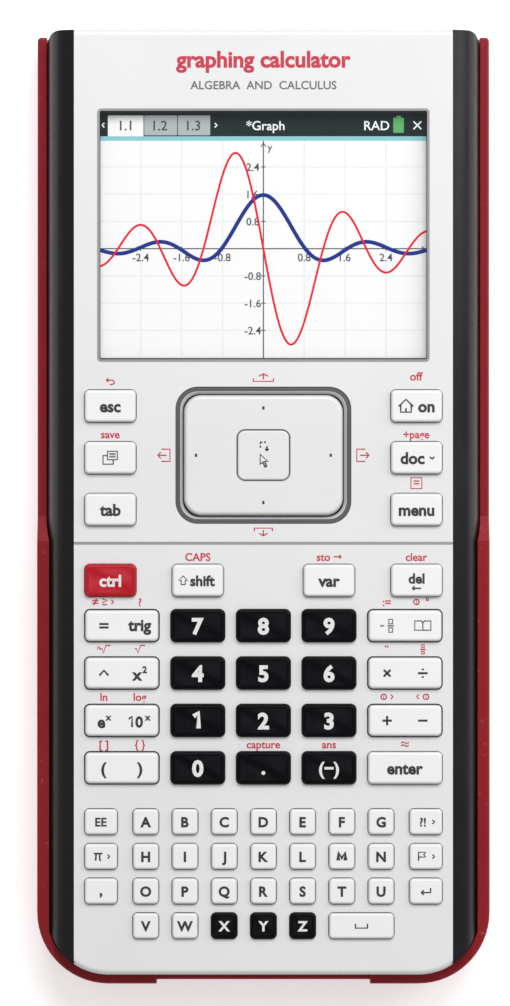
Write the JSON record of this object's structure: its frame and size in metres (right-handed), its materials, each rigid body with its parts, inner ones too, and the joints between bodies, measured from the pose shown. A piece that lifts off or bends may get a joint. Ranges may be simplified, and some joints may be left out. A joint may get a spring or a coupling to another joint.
{
  "type": "graphing calculator",
  "caption": "Handheld graphing calculator with a colour display, touchpad, rocking double keys and an alphabet keypad, stowed in its slide-off cover.",
  "frame": {"origin": "middle of the footprint, on the flat back of the slide cover that the calculator rests on", "axes": "+X across the keys to the right, +Y along the calculator towards the screen end, +Z out of the front face"},
  "size_m": [0.0904, 0.1902, 0.0181],
  "materials": {
    "red_cover": "satin moulded, red",
    "dark_shell": "fine texture",
    "screw_steel": "zinc plated",
    "black_gloss": "polished",
    "white_face": "satin moulded",
    "dark_frame": "moulded",
    "clear_window": "hard coated acrylic",
    "display_glass": "colour display",
    "light_guide": "frosted",
    "flex_film": "polyimide",
    "board_green": "solder mask",
    "silicone": "translucent grey",
    "tin_plate": "tin plated",
    "battery_wrap": "film wrapped",
    "connector_black": "moulded",
    "grey_trim": "dark satin",
    "white_pad": "smooth",
    "white_key": "satin moulded",
    "black_key": "satin moulded",
    "red_key": "satin moulded"
  },
  "bodies": {
    "handheld": {"back_housing": "dark_shell", "battery_door": "dark_shell", "battery_door_screws": "screw_steel", "side_rail_left": "black_gloss", "side_rail_right": "black_gloss", "upper_faceplate": "white_face", "lower_faceplate": "white_face", "inner_frame": "dark_frame", "display_window": "clear_window", "lcd_panel": "display_glass", "lcd_backlight": "light_guide", "lcd_flex": "flex_film", "main_circuit_board": "board_green", "keypad_membrane": "silicone", "shield_can": "tin_plate", "battery_pack": "battery_wrap", "battery_contact_block": "connector_black", "usb_port": "tin_plate", "dock_connector": "connector_black", "case_screws": "screw_steel", "touchpad_trim_ring": "grey_trim"},
    "cover": {"slide_cover": "red_cover"},
    "pad_carrier": {"touchpad_carrier": "dark_frame"},
    "pad": {"touchpad": "white_pad", "touchpad_board": "board_green"},
    "pad_button": {"centre_button": "white_pad"},
    "esc_key_body": {"esc_key": "white_key"},
    "scratchpad_key_body": {"scratchpad_key": "white_key"},
    "tab_key_body": {"tab_key": "white_key"},
    "home_key_body": {"home_key": "white_key"},
    "document_key_body": {"document_key": "white_key"},
    "menu_key_body": {"menu_key": "white_key"},
    "control_key_body": {"control_key": "red_key"},
    "shift_key_body": {"shift_key": "white_key"},
    "variable_key_body": {"variable_key": "white_key"},
    "delete_key_body": {"delete_key": "white_key"},
    "enter_key_body": {"enter_key": "white_key"},
    "number_key_7_body": {"number_key_7": "black_key"},
    "number_key_8_body": {"number_key_8": "black_key"},
    "number_key_9_body": {"number_key_9": "black_key"},
    "number_key_4_body": {"number_key_4": "black_key"},
    "number_key_5_body": {"number_key_5": "black_key"},
    "number_key_6_body": {"number_key_6": "black_key"},
    "number_key_1_body": {"number_key_1": "black_key"},
    "number_key_2_body": {"number_key_2": "black_key"},
    "number_key_3_body": {"number_key_3": "black_key"},
    "number_key_0_body": {"number_key_0": "black_key"},
    "point_key_body": {"point_key": "black_key"},
    "negate_key_body": {"negate_key": "black_key"},
    "trig_rocker_body": {"trig_rocker": "white_key"},
    "power_rocker_body": {"power_rocker": "white_key"},
    "exponential_rocker_body": {"exponential_rocker": "white_key"},
    "bracket_rocker_body": {"bracket_rocker": "white_key"},
    "template_rocker_body": {"template_rocker": "white_key"},
    "multiply_rocker_body": {"multiply_rocker": "white_key"},
    "add_rocker_body": {"add_rocker": "white_key"},
    "letter_keys_row_1_body": {"letter_keys_row_1": "white_key"},
    "letter_keys_row_2_body": {"letter_keys_row_2": "white_key"},
    "letter_keys_row_3_body": {"letter_keys_row_3": "white_key"},
    "letter_keys_row_4_body": {"letter_keys_row_4": "white_key"}
  },
  "joints": [
    {"name": "cover_slide", "type": "slide", "parent": "handheld", "child": "cover", "axis": [0, -1, 0], "range_m": [0, 0.1941]},
    {"name": "esc_key_press", "type": "slide", "parent": "handheld", "child": "esc_key_body", "axis": [0, 0, -1], "range_m": [0, 0.0009], "stiffness_N_per_m": 500, "springref_m": -0.0004, "deforming": ["keypad_membrane"]},
    {"name": "scratchpad_key_press", "type": "slide", "parent": "handheld", "child": "scratchpad_key_body", "axis": [0, 0, -1], "range_m": [0, 0.0009], "stiffness_N_per_m": 500, "springref_m": -0.0004, "deforming": ["keypad_membrane"]},
    {"name": "tab_key_press", "type": "slide", "parent": "handheld", "child": "tab_key_body", "axis": [0, 0, -1], "range_m": [0, 0.0009], "stiffness_N_per_m": 500, "springref_m": -0.0004, "deforming": ["keypad_membrane"]},
    {"name": "home_key_press", "type": "slide", "parent": "handheld", "child": "home_key_body", "axis": [0, 0, -1], "range_m": [0, 0.0009], "stiffness_N_per_m": 500, "springref_m": -0.0004, "deforming": ["keypad_membrane"]},
    {"name": "document_key_press", "type": "slide", "parent": "handheld", "child": "document_key_body", "axis": [0, 0, -1], "range_m": [0, 0.0009], "stiffness_N_per_m": 500, "springref_m": -0.0004, "deforming": ["keypad_membrane"]},
    {"name": "menu_key_press", "type": "slide", "parent": "handheld", "child": "menu_key_body", "axis": [0, 0, -1], "range_m": [0, 0.0009], "stiffness_N_per_m": 500, "springref_m": -0.0004, "deforming": ["keypad_membrane"]},
    {"name": "control_key_press", "type": "slide", "parent": "handheld", "child": "control_key_body", "axis": [0, 0, -1], "range_m": [0, 0.0009], "stiffness_N_per_m": 500, "springref_m": -0.0004, "deforming": ["keypad_membrane"]},
    {"name": "shift_key_press", "type": "slide", "parent": "handheld", "child": "shift_key_body", "axis": [0, 0, -1], "range_m": [0, 0.0009], "stiffness_N_per_m": 500, "springref_m": -0.0004, "deforming": ["keypad_membrane"]},
    {"name": "variable_key_press", "type": "slide", "parent": "handheld", "child": "variable_key_body", "axis": [0, 0, -1], "range_m": [0, 0.0009], "stiffness_N_per_m": 500, "springref_m": -0.0004, "deforming": ["keypad_membrane"]},
    {"name": "delete_key_press", "type": "slide", "parent": "handheld", "child": "delete_key_body", "axis": [0, 0, -1], "range_m": [0, 0.0009], "stiffness_N_per_m": 500, "springref_m": -0.0004, "deforming": ["keypad_membrane"]},
    {"name": "enter_key_press", "type": "slide", "parent": "handheld", "child": "enter_key_body", "axis": [0, 0, -1], "range_m": [0, 0.0009], "stiffness_N_per_m": 500, "springref_m": -0.0004, "deforming": ["keypad_membrane"]},
    {"name": "number_key_7_press", "type": "slide", "parent": "handheld", "child": "number_key_7_body", "axis": [0, 0, -1], "range_m": [0, 0.0009], "stiffness_N_per_m": 500, "springref_m": -0.0004, "deforming": ["keypad_membrane"]},
    {"name": "number_key_8_press", "type": "slide", "parent": "handheld", "child": "number_key_8_body", "axis": [0, 0, -1], "range_m": [0, 0.0009], "stiffness_N_per_m": 500, "springref_m": -0.0004, "deforming": ["keypad_membrane"]},
    {"name": "number_key_9_press", "type": "slide", "parent": "handheld", "child": "number_key_9_body", "axis": [0, 0, -1], "range_m": [0, 0.0009], "stiffness_N_per_m": 500, "springref_m": -0.0004, "deforming": ["keypad_membrane"]},
    {"name": "number_key_4_press", "type": "slide", "parent": "handheld", "child": "number_key_4_body", "axis": [0, 0, -1], "range_m": [0, 0.0009], "stiffness_N_per_m": 500, "springref_m": -0.0004, "deforming": ["keypad_membrane"]},
    {"name": "number_key_5_press", "type": "slide", "parent": "handheld", "child": "number_key_5_body", "axis": [0, 0, -1], "range_m": [0, 0.0009], "stiffness_N_per_m": 500, "springref_m": -0.0004, "deforming": ["keypad_membrane"]},
    {"name": "number_key_6_press", "type": "slide", "parent": "handheld", "child": "number_key_6_body", "axis": [0, 0, -1], "range_m": [0, 0.0009], "stiffness_N_per_m": 500, "springref_m": -0.0004, "deforming": ["keypad_membrane"]},
    {"name": "number_key_1_press", "type": "slide", "parent": "handheld", "child": "number_key_1_body", "axis": [0, 0, -1], "range_m": [0, 0.0009], "stiffness_N_per_m": 500, "springref_m": -0.0004, "deforming": ["keypad_membrane"]},
    {"name": "number_key_2_press", "type": "slide", "parent": "handheld", "child": "number_key_2_body", "axis": [0, 0, -1], "range_m": [0, 0.0009], "stiffness_N_per_m": 500, "springref_m": -0.0004, "deforming": ["keypad_membrane"]},
    {"name": "number_key_3_press", "type": "slide", "parent": "handheld", "child": "number_key_3_body", "axis": [0, 0, -1], "range_m": [0, 0.0009], "stiffness_N_per_m": 500, "springref_m": -0.0004, "deforming": ["keypad_membrane"]},
    {"name": "number_key_0_press", "type": "slide", "parent": "handheld", "child": "number_key_0_body", "axis": [0, 0, -1], "range_m": [0, 0.0009], "stiffness_N_per_m": 500, "springref_m": -0.0004, "deforming": ["keypad_membrane"]},
    {"name": "point_key_press", "type": "slide", "parent": "handheld", "child": "point_key_body", "axis": [0, 0, -1], "range_m": [0, 0.0009], "stiffness_N_per_m": 500, "springref_m": -0.0004, "deforming": ["keypad_membrane"]},
    {"name": "negate_key_press", "type": "slide", "parent": "handheld", "child": "negate_key_body", "axis": [0, 0, -1], "range_m": [0, 0.0009], "stiffness_N_per_m": 500, "springref_m": -0.0004, "deforming": ["keypad_membrane"]},
    {"name": "trig_rocker_rock", "type": "hinge", "parent": "handheld", "child": "trig_rocker_body", "pos_m": [-0.02815, -0.0235, 0.01505], "axis": [0, 1, 0], "range_deg": [-5, 5], "stiffness_Nm_per_rad": 0.03, "deforming": ["keypad_membrane"]},
    {"name": "power_rocker_rock", "type": "hinge", "parent": "handheld", "child": "power_rocker_body", "pos_m": [-0.02815, -0.03293, 0.01505], "axis": [0, 1, 0], "range_deg": [-5, 5], "stiffness_Nm_per_rad": 0.03, "deforming": ["keypad_membrane"]},
    {"name": "exponential_rocker_rock", "type": "hinge", "parent": "handheld", "child": "exponential_rocker_body", "pos_m": [-0.02815, -0.04236, 0.01505], "axis": [0, 1, 0], "range_deg": [-5, 5], "stiffness_Nm_per_rad": 0.03, "deforming": ["keypad_membrane"]},
    {"name": "bracket_rocker_rock", "type": "hinge", "parent": "handheld", "child": "bracket_rocker_body", "pos_m": [-0.02815, -0.05179, 0.01505], "axis": [0, 1, 0], "range_deg": [-5, 5], "stiffness_Nm_per_rad": 0.03, "deforming": ["keypad_membrane"]},
    {"name": "template_rocker_rock", "type": "hinge", "parent": "handheld", "child": "template_rocker_body", "pos_m": [0.02815, -0.0235, 0.01505], "axis": [0, 1, 0], "range_deg": [-5, 5], "stiffness_Nm_per_rad": 0.03, "deforming": ["keypad_membrane"]},
    {"name": "multiply_rocker_rock", "type": "hinge", "parent": "handheld", "child": "multiply_rocker_body", "pos_m": [0.02815, -0.03293, 0.01505], "axis": [0, 1, 0], "range_deg": [-5, 5], "stiffness_Nm_per_rad": 0.03, "deforming": ["keypad_membrane"]},
    {"name": "add_rocker_rock", "type": "hinge", "parent": "handheld", "child": "add_rocker_body", "pos_m": [0.02815, -0.04236, 0.01505], "axis": [0, 1, 0], "range_deg": [-5, 5], "stiffness_Nm_per_rad": 0.03, "deforming": ["keypad_membrane"]},
    {"name": "letter_keys_row_1_press", "type": "slide", "parent": "handheld", "child": "letter_keys_row_1_body", "axis": [0, 0, -1], "range_m": [0, 0.0008], "stiffness_N_per_m": 700, "springref_m": -0.0004, "deforming": ["keypad_membrane"]},
    {"name": "letter_keys_row_2_press", "type": "slide", "parent": "handheld", "child": "letter_keys_row_2_body", "axis": [0, 0, -1], "range_m": [0, 0.0008], "stiffness_N_per_m": 700, "springref_m": -0.0004, "deforming": ["keypad_membrane"]},
    {"name": "letter_keys_row_3_press", "type": "slide", "parent": "handheld", "child": "letter_keys_row_3_body", "axis": [0, 0, -1], "range_m": [0, 0.0008], "stiffness_N_per_m": 700, "springref_m": -0.0004, "deforming": ["keypad_membrane"]},
    {"name": "letter_keys_row_4_press", "type": "slide", "parent": "handheld", "child": "letter_keys_row_4_body", "axis": [0, 0, -1], "range_m": [0, 0.0008], "stiffness_N_per_m": 700, "springref_m": -0.0004, "deforming": ["keypad_membrane"]},
    {"name": "touchpad_up_down", "type": "hinge", "parent": "handheld", "child": "pad_carrier", "pos_m": [0, 0.0104, 0.0136], "axis": [1, 0, 0], "range_deg": [-1.5, 1.5], "stiffness_Nm_per_rad": 0.2, "deforming": ["keypad_membrane"]},
    {"name": "touchpad_left_right", "type": "hinge", "parent": "pad_carrier", "child": "pad", "pos_m": [0, 0.0104, 0.0136], "axis": [0, 1, 0], "range_deg": [-1.5, 1.5], "stiffness_Nm_per_rad": 0.2, "deforming": ["keypad_membrane"]},
    {"name": "centre_button_press", "type": "slide", "parent": "pad", "child": "pad_button", "axis": [0, 0, -1], "range_m": [0, 0.0007], "stiffness_N_per_m": 500, "springref_m": -0.0004, "deforming": ["keypad_membrane"]}
  ]
}
